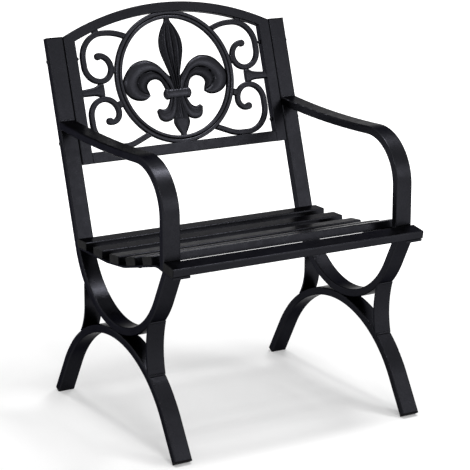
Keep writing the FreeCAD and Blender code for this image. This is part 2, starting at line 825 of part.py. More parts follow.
def nodes():
    """Every piece under its name."""
    made = {}
    handed = {"post_and_loop": post_and_loop(), "leg_arch": leg_arch(), "armrest": armrest(),
              "seat_rail": seat_rail(), "front_brace": front_brace(), "rear_brace": rear_brace(),
              "back_stile": stile(), "scroll_upper": lean_back(upper_scroll(casting_corner), cast_depth),
              "scroll_lower": lean_back(lower_scroll(casting_corner), cast_depth),
              "side_bracket": lean_back(bracket(), cast_depth)}
    for name, shape in handed.items():
        made[name + "_right"], made[name + "_left"] = pair(shape)
    for index, place in enumerate(slat_places):
        made["seat_slat_%d" % (index + 1)] = seat_slat(place)
    made["back_bottom_rail"] = bottom_rail()
    made["back_top_rail"] = top_rail()
    made["ornament_ring"] = lean_back(ring(), cast_depth)
    made["ornament_fleur"] = lean_back(fleur(), cast_depth)
    made["slat_plugs"] = both_sides([slat_plug(place) for place in slat_places])
    made["slat_bolts"] = both_sides([slat_bolt(point, up) for point, up in bolt_places()])
    made["back_bolts"] = both_sides([panel_bolt(height) for height in panel_bolt_heights])
    made["back_cap_nuts"] = both_sides([cap_nut(height) for height in panel_bolt_heights])
    made["front_foot_caps"] = both_sides([foot_cap(arch_path.end, arch_path.heading)])
    made["rear_foot_caps"] = both_sides([foot_cap(arch_path.start, leg_heading + HALF)])
    made["post_caps"] = both_sides([stand(tube_cap(post_top, post_heading, post_cap_lip), side_x)])
    return made


def main():
    os.makedirs("parts", exist_ok=True)
    for name, shape in nodes().items():
        shape.exportStep("parts/%s.step" % name)


main()
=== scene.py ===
"""Looks for a garden armchair of steel tube with a cast iron ornament in its back."""
import json
import math

import bpy
import numpy as np
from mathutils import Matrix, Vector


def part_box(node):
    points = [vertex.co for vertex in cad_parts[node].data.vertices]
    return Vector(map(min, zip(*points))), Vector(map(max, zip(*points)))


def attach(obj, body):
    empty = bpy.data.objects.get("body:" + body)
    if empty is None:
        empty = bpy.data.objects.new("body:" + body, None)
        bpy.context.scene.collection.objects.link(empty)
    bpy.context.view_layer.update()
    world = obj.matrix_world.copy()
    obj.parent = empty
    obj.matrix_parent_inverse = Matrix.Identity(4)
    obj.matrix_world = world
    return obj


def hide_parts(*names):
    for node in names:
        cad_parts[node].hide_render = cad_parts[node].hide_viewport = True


bl_info = {
    "name": "Garden armchair",
    "version": (1, 0, 0),
    "blender": (4, 5, 0),
    "location": "View3D > Sidebar > Armchair",
    "description": "Finishes, cast ornament and stage for a garden armchair",
    "category": "Object",
}

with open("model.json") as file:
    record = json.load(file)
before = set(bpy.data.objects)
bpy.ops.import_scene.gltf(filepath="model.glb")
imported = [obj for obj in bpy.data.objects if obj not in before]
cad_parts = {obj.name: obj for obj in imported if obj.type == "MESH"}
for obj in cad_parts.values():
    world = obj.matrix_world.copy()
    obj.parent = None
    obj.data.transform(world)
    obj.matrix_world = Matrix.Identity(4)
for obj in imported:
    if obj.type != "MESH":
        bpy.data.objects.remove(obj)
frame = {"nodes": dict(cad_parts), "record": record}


# ---------------------------------------------------------------- sizes and colours


class ArmchairFinish(bpy.types.PropertyGroup):
    """Colours and gloss of the chair's finishes."""

    coat: bpy.props.FloatVectorProperty(
        name="Black coat", description="Colour of the coated tube", subtype="COLOR", size=3,
        default=(0.0158, 0.0160, 0.0190), min=0, max=1)
    coat_roughness: bpy.props.FloatProperty(
        name="Coat roughness", description="Roughness of the coated tube", default=0.30, min=0,
        max=1)
    iron: bpy.props.FloatVectorProperty(
        name="Coated iron", description="Colour of the coated casting", subtype="COLOR", size=3,
        default=(0.0170, 0.0172, 0.0204), min=0, max=1)
    iron_roughness: bpy.props.FloatProperty(
        name="Iron roughness", description="Roughness of the coated casting", default=0.30, min=0,
        max=1)
    fastener_roughness: bpy.props.FloatProperty(
        name="Fastener roughness", description="Roughness of the bolts and cap nuts", default=0.35,
        min=0, max=1)
    rim_light: bpy.props.FloatVectorProperty(
        name="Rim light", description="Colour that the coat mirrors at a glancing angle",
        subtype="COLOR", size=3, default=(0.422, 0.421, 0.423), min=0, max=1)
    plastic: bpy.props.FloatVectorProperty(
        name="Plug plastic", description="Colour of the plugs and caps", subtype="COLOR", size=3,
        default=(0.0060, 0.0060, 0.0068), min=0, max=1)
    plastic_roughness: bpy.props.FloatProperty(
        name="Plastic roughness", description="Roughness of the plugs and caps", default=0.55,
        min=0, max=1)
    plastic_sheen: bpy.props.FloatProperty(
        name="Plastic sheen", description="How much the plugs and caps mirror", default=0.03,
        min=0, max=1)


class ArmchairCasting(bpy.types.PropertyGroup):
    """Relief of the cast ornament."""

    recline: bpy.props.FloatProperty(
        name="Recline", description="Lean of the back from upright", subtype="ANGLE",
        default=math.radians(17.6))
    ring_band: bpy.props.FloatProperty(
        name="Ring band", description="Width of the ring", unit="LENGTH", default=0.0185)
    edge: bpy.props.FloatProperty(
        name="Edge height",
        description="Where a leaf's rounded edge ends, before the ornament's middle",
        unit="LENGTH", default=0.0012)
    back: bpy.props.FloatProperty(
        name="Back depth", description="Flat back of the leaves behind the ornament's middle",
        unit="LENGTH", default=0.0046)
    spindle_rise: bpy.props.FloatProperty(
        name="Spindle rise", description="Crown of the spindle", unit="LENGTH", default=0.0056)
    ridge: bpy.props.FloatProperty(
        name="Ridge", description="Height of the spindle's lengthwise ridges", unit="LENGTH",
        default=0.0025)
    rim_rise: bpy.props.FloatProperty(
        name="Rim rise", description="Crown of a petal's rolled rim", unit="LENGTH",
        default=0.0074)
    hollow_rise: bpy.props.FloatProperty(
        name="Hollow rise", description="Crown of a petal inside its rim", unit="LENGTH",
        default=0.0044)
    leaf_rise: bpy.props.FloatProperty(
        name="Leaf rise", description="Crown of the lower leaves", unit="LENGTH", default=0.0066)
    stem_rise: bpy.props.FloatProperty(
        name="Stem rise", description="Crown of the lower stem", unit="LENGTH", default=0.0050)
    ring_depth: bpy.props.FloatProperty(
        name="Ring depth", description="Half the ring's depth on the crown of its beads",
        unit="LENGTH", default=0.0060)
    collar_depth: bpy.props.FloatProperty(
        name="Collar depth", description="Half the collar's depth", unit="LENGTH", default=0.0086)
    bar_depth: bpy.props.FloatProperty(
        name="Bar depth", description="Half the depth of the side brackets", unit="LENGTH",
        default=0.0059)


class ArmchairWeld(bpy.types.PropertyGroup):
    """Size of the weld beads."""

    radius: bpy.props.FloatProperty(
        name="Bead radius", description="Half the width of a weld bead", unit="LENGTH",
        default=0.0027)
    inset: bpy.props.FloatProperty(
        name="Bead inset", description="How far a bead stops short of the tube's side",
        unit="LENGTH", default=0.0015)


class ArmchairStage(bpy.types.PropertyGroup):
    """Camera, floor and lamps."""

    camera_place: bpy.props.FloatVectorProperty(
        name="Camera place", description="Where the camera stands", subtype="TRANSLATION",
        unit="LENGTH", size=3, default=(-2.12783, -3.61214, 1.48041))
    camera_azimuth: bpy.props.FloatProperty(
        name="Camera azimuth", description="Turn of the view away from +Y", subtype="ANGLE",
        default=math.radians(-30.678))
    camera_elevation: bpy.props.FloatProperty(
        name="Camera elevation", description="How far the view looks down", subtype="ANGLE",
        default=math.radians(14.668))
    lens: bpy.props.FloatProperty(
        name="Lens", description="Focal length on a 36 mm sensor", default=150.976, min=1)
    floor_size: bpy.props.FloatProperty(
        name="Floor size", description="Side of the pale floor", unit="LENGTH", default=24.0,
        min=1)
    floor_colour: bpy.props.FloatProperty(
        name="Floor colour", description="How pale the floor's paint is", default=0.62, min=0,
        max=1)
    floor_glow: bpy.props.FloatProperty(
        name="Floor glow", description="Lift of the floor near the chair where it is seen",
        default=0.33, min=0, max=1)
    floor_near: bpy.props.FloatProperty(
        name="Floor near", description="How far out the floor keeps its shadows in full",
        unit="LENGTH", default=0.70, min=0)
    floor_far: bpy.props.FloatProperty(
        name="Floor far", description="How far out the floor is all white", unit="LENGTH",
        default=1.5, min=0)
    overhead_power: bpy.props.FloatProperty(
        name="Overhead light", description="Strength of the soft light from above", default=1.45,
        min=0)
    overhead_spread: bpy.props.FloatProperty(
        name="Overhead spread", description="Width of the soft light from above", subtype="ANGLE",
        default=math.radians(14), min=0, max=math.pi)
    overhead_turn: bpy.props.FloatVectorProperty(
        name="Overhead turn", description="Turn of the overhead light from straight down",
        subtype="EULER", size=3, default=(math.radians(2), 0, 0))
    front_place: bpy.props.FloatVectorProperty(
        name="Front box place", description="Where the soft box in front stands",
        subtype="TRANSLATION", unit="LENGTH", size=3, default=(1.8, -3.0, 1.45))
    front_size: bpy.props.FloatProperty(
        name="Front box size", description="Side of the soft box in front", unit="LENGTH",
        default=1.2, min=0.01)
    front_power: bpy.props.FloatProperty(
        name="Front box power", description="Power of the soft box in front", default=13.5, min=0)
    high_place: bpy.props.FloatVectorProperty(
        name="High box place", description="Where the soft box above stands",
        subtype="TRANSLATION", unit="LENGTH", size=3, default=(1.1, -0.25, 3.0))
    high_size: bpy.props.FloatProperty(
        name="High box size", description="Side of the soft box above", unit="LENGTH", default=0.6,
        min=0.01)
    high_power: bpy.props.FloatProperty(
        name="High box power", description="Power of the soft box above", default=30.0, min=0)
    glint_place: bpy.props.FloatVectorProperty(
        name="Glint lamp place", description="Where the small lamp on the left stands",
        subtype="TRANSLATION", unit="LENGTH", size=3, default=(-0.95, -2.4, 2.4))
    glint_size: bpy.props.FloatProperty(
        name="Glint lamp size", description="Side of the small lamp on the left", unit="LENGTH",
        default=0.35, min=0.01)
    glint_power: bpy.props.FloatProperty(
        name="Glint lamp power", description="Power of the small lamp on the left", default=14.0,
        min=0)
    sky: bpy.props.FloatProperty(
        name="Room light", description="Strength of the light from all round", default=0.42, min=0)


# ---------------------------------------------------------------- finishes


# Noise in every finish: cells to a metre, and how far it drifts either way
TONE_CELLS, TONE_DRIFT = 9.0, 0.10
GRAIN_CELLS, GRAIN_DRIFT = 420.0, 0.16
GLOSS_CELLS, GLOSS_DOWN, GLOSS_UP = 60.0, 0.04, 0.06
# Most of a noise lies between these two values
NOISE_LOW, NOISE_HIGH = 0.3, 0.7
# How far the painted shading value darkens hollows and edges with painted shade and lightens
# crowns with painted highlight
PAINTED_SHADING_DRIFT = 0.68
# Orange peel of each finish: cells to a metre, and depth in metres
TUBE_PEEL = 700.0, 0.00005
IRON_PEEL = 330.0, 0.00014
FASTENER_PEEL = 900.0, 0.00004
PLASTIC_PEEL = 1200.0, 0.00005


def emptied(holder):
    """The node tree of a new material or world, with nothing in it."""
    holder.use_nodes = True
    holder.node_tree.nodes.clear()
    return holder.node_tree


def node(tree, kind, sockets=(), **settings):
    """A new node, with its settings and its unlinked sockets filled in."""
    made = tree.nodes.new(kind)
    for name, value in settings.items():
        setattr(made, name, value)
    for name, value in dict(sockets).items():
        made.inputs[name].default_value = value
    return made


def noise(tree, scale, detail=2.0, roughness=0.5):
    """Noise on Object coordinates; scale is in cells to a metre."""
    place = node(tree, "ShaderNodeTexCoord")
    cells = node(tree, "ShaderNodeTexNoise",
                 {"Scale": scale, "Detail": detail, "Roughness": roughness})
    tree.links.new(place.outputs["Object"], cells.inputs["Vector"])
    return cells.outputs["Fac"]


def between(tree, factor, low, high):
    """Spreads the middle of a noise over low to high."""
    spread = node(tree, "ShaderNodeMapRange", {"From Min": NOISE_LOW, "From Max": NOISE_HIGH,
                                               "To Min": low, "To Max": high})
    tree.links.new(factor, spread.inputs["Value"])
    return spread.outputs["Result"]


def tint(tree, factor, colour, share):
    """Colour that drifts up and down by a share of itself."""
    ramp = node(tree, "ShaderNodeValToRGB")
    stops = (NOISE_LOW, 1 - share), (NOISE_HIGH, 1 + share)
    for stop, (position, tone) in zip(ramp.color_ramp.elements, stops):
        stop.position = position
        stop.color = [c * tone for c in colour] + [1]
    tree.links.new(factor, ramp.inputs["Fac"])
    return ramp.outputs["Color"]


def times(tree, colour, factor):
    """Colour times a factor."""
    product = node(tree, "ShaderNodeVectorMath", operation="SCALE")
    tree.links.new(colour, product.inputs[0])
    tree.links.new(factor, product.inputs["Scale"])
    return product.outputs["Vector"]


def by_painted_shading(tree, colour, depth):
    """Colour times 1 + depth times the painted shading value, which is 0 where a mesh has none:
    below 0 it paints shade, above 0 it paints highlight.
    """
    value = node(tree, "ShaderNodeAttribute", attribute_name="painted_shading")
    spread = node(tree, "ShaderNodeMapRange",
                  {"From Min": -1.0, "To Min": 1 - depth, "To Max": 1 + depth})
    tree.links.new(value.outputs["Fac"], spread.inputs["Value"])
    return times(tree, colour, spread.outputs["Result"])


def raised(tree, shader, height, distance):
    """Bump in metres on the shader's normal."""
    bump = node(tree, "ShaderNodeBump", {"Distance": distance, "Strength": 1.0})
    tree.links.new(height, bump.inputs["Height"])
    tree.links.new(bump.outputs["Normal"], shader.inputs["Normal"])


def worked(name, colour, roughness, peel):
    """Skin with a fine orange peel and slow drifts in tone and gloss."""
    material = bpy.data.materials.new(name)
    tree = emptied(material)
    output = node(tree, "ShaderNodeOutputMaterial")
    shader = node(tree, "ShaderNodeBsdfPrincipled")
    tree.links.new(shader.outputs["BSDF"], output.inputs["Surface"])
    tone = tint(tree, noise(tree, TONE_CELLS, 3.0), colour, TONE_DRIFT)
    grain = between(tree, noise(tree, GRAIN_CELLS, 3.0, 0.6), 1 - GRAIN_DRIFT, 1 + GRAIN_DRIFT)
    gloss = between(tree, noise(tree, GLOSS_CELLS, 4.0, 0.6), roughness - GLOSS_DOWN,
                    roughness + GLOSS_UP)
    # Painted shade in hollows and at edges and painted highlight on crowns, from the cast pieces'
    # painted shading attribute
    shaded = by_painted_shading(tree, times(tree, tone, grain), PAINTED_SHADING_DRIFT)
    tree.links.new(shaded, shader.inputs["Base Color"])
    tree.links.new(gloss, shader.inputs["Roughness"])
    cells, depth = peel
    raised(tree, shader, noise(tree, cells), depth)
    return material, shader


def coated(name, colour, roughness, rim_light, peel):
    """Black coat on metal, with a satin gloss that stays low at a glancing angle."""
    material, shader = worked(name, colour, roughness, peel)
    shader.inputs["Metallic"].default_value = 1.0
    shader.inputs["Specular Tint"].default_value = (*rim_light, 1)
    return material


def moulded(name, colour, roughness, sheen, peel):
    """Dull black plastic."""
    material, shader = worked(name, colour, roughness, peel)
    shader.inputs["Specular IOR Level"].default_value = sheen
    return material


class ARMCHAIR_OT_finishes(bpy.types.Operator):
    """Gives every frame node its coat, casting or plastic"""

    bl_idname = "armchair.finishes"
    bl_label = "Finishes"

    def execute(self, context):
        finish = context.scene.armchair_finish
        rim = finish.rim_light
        by_slot = {
            "black_tube": coated("black_coated_tube", finish.coat, finish.coat_roughness, rim,
                                 TUBE_PEEL),
            "black_casting": coated("black_coated_iron", finish.iron, finish.iron_roughness, rim,
                                    IRON_PEEL),
            "black_fastener": coated("black_fastener", finish.coat, finish.fastener_roughness, rim,
                                     FASTENER_PEEL),
            "black_plastic": moulded("plug_plastic", finish.plastic, finish.plastic_roughness,
                                     finish.plastic_sheen, PLASTIC_PEEL),
        }
        slots = {part["node"]: part["material_slot"] for part in frame["record"]["subparts"]}
        for name, solid in frame["nodes"].items():
            solid.data.materials.clear()
            solid.data.materials.append(by_slot[slots[name]])
        return {"FINISHED"}


# ---------------------------------------------------------------- surfaces


# Steps between two given points of a curve, before it is spaced evenly
FINE_STEPS = 40
# Turn between two faces, in degrees, from which their edge is sharp
SHARP_TURN = 50
SHARP_CAST_TURN = 60


def smooth(points, count):
    """Smooth cubic curve through points, evenly spaced by its length.

    Between p1 and p2, with p0 before and p3 after them, it is the sum of t^k a_k for t from 0
    to 1, with a_0 = p1, a_1 = (p2 - p0) / 2, a_2 = p0 - 5/2 p1 + 2 p2 - p3 / 2 and
    a_3 = (p3 - p0 + 3 (p1 - p2)) / 2.
    """
    known = np.asarray(points, float)
    ends = np.vstack([2 * known[0] - known[1], known, 2 * known[-1] - known[-2]])
    p0, p1, p2, p3 = ends[:-3, None], ends[1:-2, None], ends[2:-1, None], ends[3:, None]
    t = np.linspace(0, 1, FINE_STEPS, endpoint=False)[None, :, None]
    fine = p1 + t * (p2 - p0) / 2 + t ** 2 * (p0 - 2.5 * p1 + 2 * p2 - p3 / 2)
    fine = (fine + t ** 3 * (p3 - p0 + 3 * (p1 - p2)) / 2).reshape(-1, known.shape[1])
    fine = np.vstack([fine, known[-1]])
    walked = np.concatenate([[0], np.cumsum(np.linalg.norm(np.diff(fine, axis=0), axis=1))])
    places = np.linspace(0, walked[-1], count)
    return np.stack([np.interp(places, walked, axis) for axis in fine.T], axis=1)


def outward(points, groups):
    """Faces turned so that the closed surface's volume is positive."""
    volume = 0.0
    for faces in groups:
        a, b, c = (points[faces[:, k]] for k in range(3))
        volume += np.einsum("ij,ij->", a, np.cross(b, c))
        if faces.shape[1] == 4:
            volume += np.einsum("ij,ij->", a, np.cross(c, points[faces[:, 3]]))
    return groups if volume > 0 else [faces[:, ::-1] for faces in groups]


def loft(rows, painted_shading=None, ring=False):
    """Closed surface through rows of closed sections, pinched at both ends or joined into a ring.

    The painted shading value of each point goes from -1, painted shade in hollows and at edges, to
    1, painted highlight on crowns.
    """
    rows = np.asarray(rows, float)
    count, around = rows.shape[:2]
    painted_shading = np.zeros((count, around)) if painted_shading is None else painted_shading
    here = np.arange(around)
    after = (here + 1) % around
    last = count if ring else count - 1
    row = (np.arange(last) * around)[:, None]
    below = (np.arange(1, last + 1) % count * around)[:, None]
    quads = np.stack([row + here, row + after, below + after, below + here], axis=-1)
    points, shade, faces = rows.reshape(-1, 3), painted_shading.ravel(), [quads.reshape(-1, 4)]
    if not ring:
        points = np.vstack([points, rows[0].mean(0), rows[-1].mean(0)])
        shade = np.concatenate([shade, [painted_shading[0].mean(), painted_shading[-1].mean()]])
        end = (count - 1) * around
        first_pole, last_pole = (np.full(around, count * around + pole) for pole in (0, 1))
        start_cap = np.stack([after, here, first_pole], axis=-1)
        end_cap = np.stack([end + here, end + after, last_pole], axis=-1)
        faces.append(np.vstack([start_cap, end_cap]))
    return points, outward(points, faces), shade


def piece(name, surfaces, material, replaced=(), sharp_turn=SHARP_TURN):
    """One object of closed surfaces, in the row frame; each is (points, face groups, painted
    shading), and the painted shading goes into a point attribute.
    """
    points = np.vstack([own for own, _, _ in surfaces])
    painted_shading = np.concatenate([values for _, _, values in surfaces])
    faces = []
    before = 0
    for own, groups, _ in surfaces:
        for group in groups:
            faces += (group + before).tolist()
        before += len(own)
    mesh = bpy.data.meshes.new(name)
    mesh.from_pydata(points, [], faces)
    # Point attribute of painted shade and painted highlight values
    values = mesh.attributes.new("painted_shading", "FLOAT", "POINT")
    values.data.foreach_set("value", painted_shading.astype(np.float32))
    mesh.materials.append(bpy.data.materials[material])
    thing = bpy.data.objects.new(name, mesh)
    bpy.context.scene.collection.objects.link(thing)
    mesh.polygons.foreach_set("use_smooth", np.ones(len(mesh.polygons), bool))
    mesh.set_sharp_from_angle(angle=math.radians(sharp_turn))
    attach(thing, "root")
    if replaced:
        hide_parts(*replaced)


def cast_piece(name, surfaces, replaced):
    """A piece of coated iron in place of one solid of the casting."""
    piece(name, surfaces, "black_coated_iron", (replaced,), SHARP_CAST_TURN)


# ---------------------------------------------------------------- cast ornament


# Outlines as (across, up) from the ring's centre, in shares of its inner radius
SPINDLE = ((0.051, -0.306), (0.096, 0.011), (0.153, 0.209), (0.214, 0.410), (0.228, 0.552),
           (0.206, 0.688), (0.138, 0.838), (0.071, 0.936), (0.048, 1.004), (0.051, 1.049))
STEM = ((0.041, -0.306), (0.057, -0.402), (0.105, -0.576), (0.154, -0.741), (0.148, -0.816),
        (0.092, -0.921), (0.056, -0.975), (0.060, -1.049))
PETAL_OUTSIDE = ((0.020, -0.336), (0.045, -0.153), (0.095, 0.000), (0.182, 0.102), (0.290, 0.222),
                 (0.421, 0.301), (0.564, 0.331), (0.763, 0.282), (0.916, 0.147), (1.005, -0.010),
                 (0.992, -0.150), (0.938, -0.250), (0.850, -0.318), (0.730, -0.354),
                 (0.615, -0.346), (0.535, -0.288))
PETAL_INSIDE = ((0.173, -0.336), (0.194, -0.275), (0.218, -0.222), (0.245, -0.143),
                (0.282, -0.071), (0.336, -0.031), (0.397, -0.016), (0.469, -0.031),
                (0.519, -0.064), (0.545, -0.097), (0.553, -0.131), (0.550, -0.163),
                (0.540, -0.194), (0.530, -0.222), (0.526, -0.250), (0.533, -0.282))
# Where the groove runs from a petal's outer edge to its inner edge, foot to tip
PETAL_GROOVE = (0.50, 0.50, 0.52, 0.54, 0.56, 0.57, 0.57, 0.57, 0.56, 0.55, 0.56, 0.60, 0.66, 0.74,
                0.84, 0.92)
LEAF_UPPER = ((0.143, -0.316), (0.160, -0.360), (0.196, -0.440), (0.240, -0.500), (0.290, -0.528),
              (0.340, -0.528), (0.385, -0.510))
LEAF_LOWER = ((0.030, -0.316), (0.040, -0.428), (0.070, -0.575), (0.150, -0.708), (0.289, -0.752),
              (0.405, -0.700), (0.440, -0.560))
# From the right stile to the necks of the scrolls
BRACKET_TOP = ((1.784, -0.066), (1.700, -0.060), (1.600, -0.050), (1.530, -0.036), (1.482, -0.014),
               (1.448, 0.010), (1.410, 0.020), (1.372, 0.012))
BRACKET_BASE = ((1.784, -0.190), (1.700, -0.190), (1.600, -0.190), (1.530, -0.194),
                (1.482, -0.208), (1.448, -0.228), (1.410, -0.236), (1.372, -0.228))


# Sections along each surface, and points across a face of it or round it
UPRIGHT_GRID = 90, 65
PETAL_GRID = 150, 61
LEAF_GRID = 70, 41
BRACKET_GRID = 60, 33
COLLAR_GRID = 81, 48
RING_GRID = 360, 49
# Share of a section's width over which its edge darkens with painted shade
PAINTED_EDGE_SHADE = 0.07
# Ridges across the spindle and the stem, and the share of the length along which they run
SPINDLE_RIDGES, SPINDLE_RIDGES_END = 2, 0.92
STEM_RIDGES, STEM_RIDGES_END = 1, 0.55
# Height of the stem's ridges as a share of the spindle's
STEM_RIDGE_SHARE = 0.7
# How pointed a ridge is: 1 is a plain wave
RIDGE_POWER = 1.7
# A petal's crowns are a little wider than half their band, so that the groove keeps a floor
CROWN_WIDTH = 0.503
# Where the inner crown ends: just past the petal's inner edge
INNER_END = 1.001
# Where a petal's crowns reach their full height, and what they have of it at the foot
FULL_FROM, FOOT_HEIGHT = 0.2, 0.75
# Valley along a leaf: place and width as shares of the leaf's width, and depth in metres
VALLEY_PLACE, VALLEY_WIDTH, VALLEY_DEPTH = 0.40, 0.09, 0.0030
# Collar: half width, height of its middle and half height, in shares of the ring's inner radius
COLLAR_HALF_WIDTH, COLLAR_MIDDLE, COLLAR_HALF_HEIGHT = 0.270, -0.285, 0.108
# Section of the collar, from a circle at 1 towards a square at 0
COLLAR_POWER = 0.85
# Thickness of the collar's middle, and how much more its swollen ends have
COLLAR_SLIM, COLLAR_SWELL = 0.82, 0.18
# Place and width of the swelling, as shares of the collar's half width
COLLAR_SWELL_PLACE, COLLAR_SWELL_WIDTH = 0.80, 0.13
# Where the ring's groove lies between its inner and outer edge
RING_SPLIT = 0.46
# Depth of the ring's edges and groove as a share of its crowns' depth
RING_FLOOR = 0.42


def panel_frame():
    """Ring centre, inner radius and the directions across, up and forward in the back panel."""
    casting = bpy.context.scene.armchair_casting
    low, high = (np.array(corner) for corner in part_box("ornament_ring"))
    inner = (high[0] - low[0]) / 2 - casting.ring_band
    up = np.array([0, math.sin(casting.recline), math.cos(casting.recline)])
    forward = np.array([0, -math.cos(casting.recline), math.sin(casting.recline)])
    return (low + high) / 2, inner, np.array([1.0, 0, 0]), up, forward


def in_panel(across, height, depth):
    """Points in the row frame from shares of the ring's inner radius and a depth in metres."""
    centre, inner, right, up, forward = panel_frame()
    return (centre + across[..., None] * inner * right + height[..., None] * inner * up
            + depth[..., None] * forward)


def hill(distance, width):
    """Rounded crown (1 - (distance / width)^2)^(1/2), and 0 beyond the width."""
    return np.sqrt(np.clip(1 - (distance / width) ** 2, 0, 1))


def smooth_pair(first, second, count):
    """Two edges sampled together, so that points of one number stay across from each other."""
    both = smooth(np.hstack([np.asarray(first, float), np.asarray(second, float)]), count)
    return both[:, :2], both[:, 2:]


def two_sided(front, edge, back, share):
    """Closed section depth: front and back meet in a rounded edge where share is 0 or 1.

    Front depth is edge + (front - edge) f and back depth edge - (edge + back) f, with
    f = (1 - |2 share - 1|^4)^(1/2).
    """
    fall = np.sqrt(np.clip(1 - np.abs(2 * share - 1) ** 4, 0, 1))
    return edge + (front - edge) * fall, edge - (edge + back) * fall


def between_edges(first, second, grid, crown, edge, back):
    """Loft over two edge curves; crown(along, share) is the front's depth in metres.

    The painted shading value, painted shade at -1 and painted highlight at 1, is (2 h^0.8 - 0.5) r
    - 1, kept within -1 and 1. There h is the front's height over the edge as a share of the
      highest, and
    r = (d / 0.07)^0.7, 1 at most, with d the distance from the nearer edge as a share of the
    width, so that low places and both edges get painted shade and crowns painted highlight.
    """
    count, across = grid
    first, second = smooth_pair(first, second, count)
    share = (1 - np.cos(np.linspace(0, math.pi, across))) / 2
    along = np.linspace(0, 1, count)[:, None]
    flat = first[:, None] * (1 - share)[None, :, None] + second[:, None] * share[None, :, None]
    front, behind = (np.broadcast_to(depth, flat.shape[:2]) for depth in
                     two_sided(crown(along, share[None, :]), edge, back, share[None, :]))
    height = np.clip((front - edge) / (front.max() - edge), 0, 1)
    # Painted shade that darkens the section towards both edges
    rim = np.clip((0.5 - np.abs(share - 0.5)) / PAINTED_EDGE_SHADE, 0, 1) ** 0.7
    painted_shading = np.clip((2.0 * height ** 0.8 - 0.5) * rim - 1, -1, 1)
    rows = [in_panel(flat[..., 0], flat[..., 1], front),
            in_panel(flat[..., 0], flat[..., 1], behind)[:, -2:0:-1]]
    painted_shading = np.hstack([painted_shading, np.zeros((count, across - 2))])
    return loft(np.concatenate(rows, axis=1), painted_shading)


def mirrored(surface):
    """The same surface on the chair's other side."""
    points, groups, painted_shading = surface
    return points * np.array([-1, 1, 1]), [group[:, ::-1] for group in groups], painted_shading


def upright(outline, rise, ridge, ridges, end, edge, back):
    """Spindle or stem over an outline and its mirror image.

    Its crown is rise + ridge w sin(pi along / end)^0.4 for along up to end. There w is the ridges'
    wave 2 ((1 + cos(2 pi ridges across)) / 2)^1.7 - 1, times (1 - across^2)^(1/2).
    """
    def crown(along, share):
        across = 2 * share - 1
        crests = 0.5 + 0.5 * np.cos(2 * ridges * math.pi * across)
        waves = (2 * crests ** RIDGE_POWER - 1) * (1 - across ** 2) ** 0.5
        return rise + ridge * waves * np.sin(math.pi * np.clip(along / end, 0, 1)) ** 0.4
    return between_edges([(-x, y) for x, y in outline], outline, UPRIGHT_GRID, crown, edge, back)


def petal(rim_rise, hollow_rise, edge, back):
    """Right petal: a rolled rim outside the groove and a lower crown inside it.

    Each crown is its rise times (1 - (distance / width)^2)^(1/4), and both start at three quarters
    and are full from a fifth of the way along.
    """
    def crown(along, share):
        groove = np.interp(along, np.linspace(0, 1, len(PETAL_GROOVE)), PETAL_GROOVE)
        rim = rim_rise * hill(share / groove - 0.5, CROWN_WIDTH) ** 0.5
        within = (share - groove) / (INNER_END - groove)
        hollow = hollow_rise * hill(within - 0.5, CROWN_WIDTH) ** 0.5
        foot = FOOT_HEIGHT + (1 - FOOT_HEIGHT) * np.clip(along / FULL_FROM, 0, 1)
        return np.where(share < groove, rim, hollow) * foot
    return between_edges(PETAL_OUTSIDE, PETAL_INSIDE, PETAL_GRID, crown, edge, back)


def leaf(rise, edge, back):
    """Right lower leaf, with a valley along it that fades towards the tip.

    Its crown is rise (0.8 + 0.2 sin(pi along)), less the valley's depth times
    exp(-((share - place) / width)^2) and times 1.15 - along, 1 at most.
    """
    def crown(along, share):
        valley = VALLEY_DEPTH * np.exp(-((share - VALLEY_PLACE) / VALLEY_WIDTH) ** 2)
        fade = np.clip(1.15 - along, 0, 1)
        return rise * (0.8 + 0.2 * np.sin(math.pi * along)) - valley * fade
    return between_edges(LEAF_UPPER, LEAF_LOWER, LEAF_GRID, crown, edge, back)


def collar(depth):
    """Bar across the fleur, with swollen round ends, painted shade along its edges and ends and
    painted highlight along its middle.

    Its section is |y / h|^2.35 + |d / depth|^2.35 = 1. Both h and depth are times a swell of
    0.82 + 0.18 exp(-((|x| - 0.80) / 0.13)^2), times (1 - |x|^6)^(1/2), with x from -1 to 1.
    """
    count, around = COLLAR_GRID
    across = np.sin(np.linspace(-math.pi / 2, math.pi / 2, count))[:, None]
    swollen = np.exp(-((np.abs(across) - COLLAR_SWELL_PLACE) / COLLAR_SWELL_WIDTH) ** 2)
    swell = (COLLAR_SLIM + COLLAR_SWELL * swollen) * (1 - np.abs(across) ** 6) ** 0.5
    turn = np.linspace(0, 2 * math.pi, around, endpoint=False)
    height = np.sign(np.sin(turn)) * np.abs(np.sin(turn)) ** COLLAR_POWER
    out = np.sign(np.cos(turn)) * np.abs(np.cos(turn)) ** COLLAR_POWER
    rows = in_panel(COLLAR_HALF_WIDTH * across,
                    COLLAR_MIDDLE + COLLAR_HALF_HEIGHT * swell * height, depth * swell * out)
    # Painted highlight along the middle, painted shade at the edges and ends
    painted_shading = 0.7 - 1.6 * np.maximum(np.abs(height) ** 6, np.abs(across) ** 12)
    return loft(rows, painted_shading)


class ARMCHAIR_OT_fleur(bpy.types.Operator):
    """Casts the fleur-de-lis in relief: spindle, petals, leaves, stem and collar"""

    bl_idname = "armchair.fleur"
    bl_label = "Fleur-de-lis"

    def execute(self, context):
        casting = context.scene.armchair_casting
        plate = casting.edge, casting.back
        spindle = upright(SPINDLE, casting.spindle_rise, casting.ridge, SPINDLE_RIDGES,
                          SPINDLE_RIDGES_END, *plate)
        stem = upright(STEM, casting.stem_rise, casting.ridge * STEM_RIDGE_SHARE, STEM_RIDGES,
                       STEM_RIDGES_END, *plate)
        right_petal = petal(casting.rim_rise, casting.hollow_rise, *plate)
        right_leaf = leaf(casting.leaf_rise, *plate)
        cast_piece("fleur_relief", [spindle, stem, right_petal, mirrored(right_petal), right_leaf,
                                    mirrored(right_leaf), collar(casting.collar_depth)],
                   "ornament_fleur")
        return {"FINISHED"}


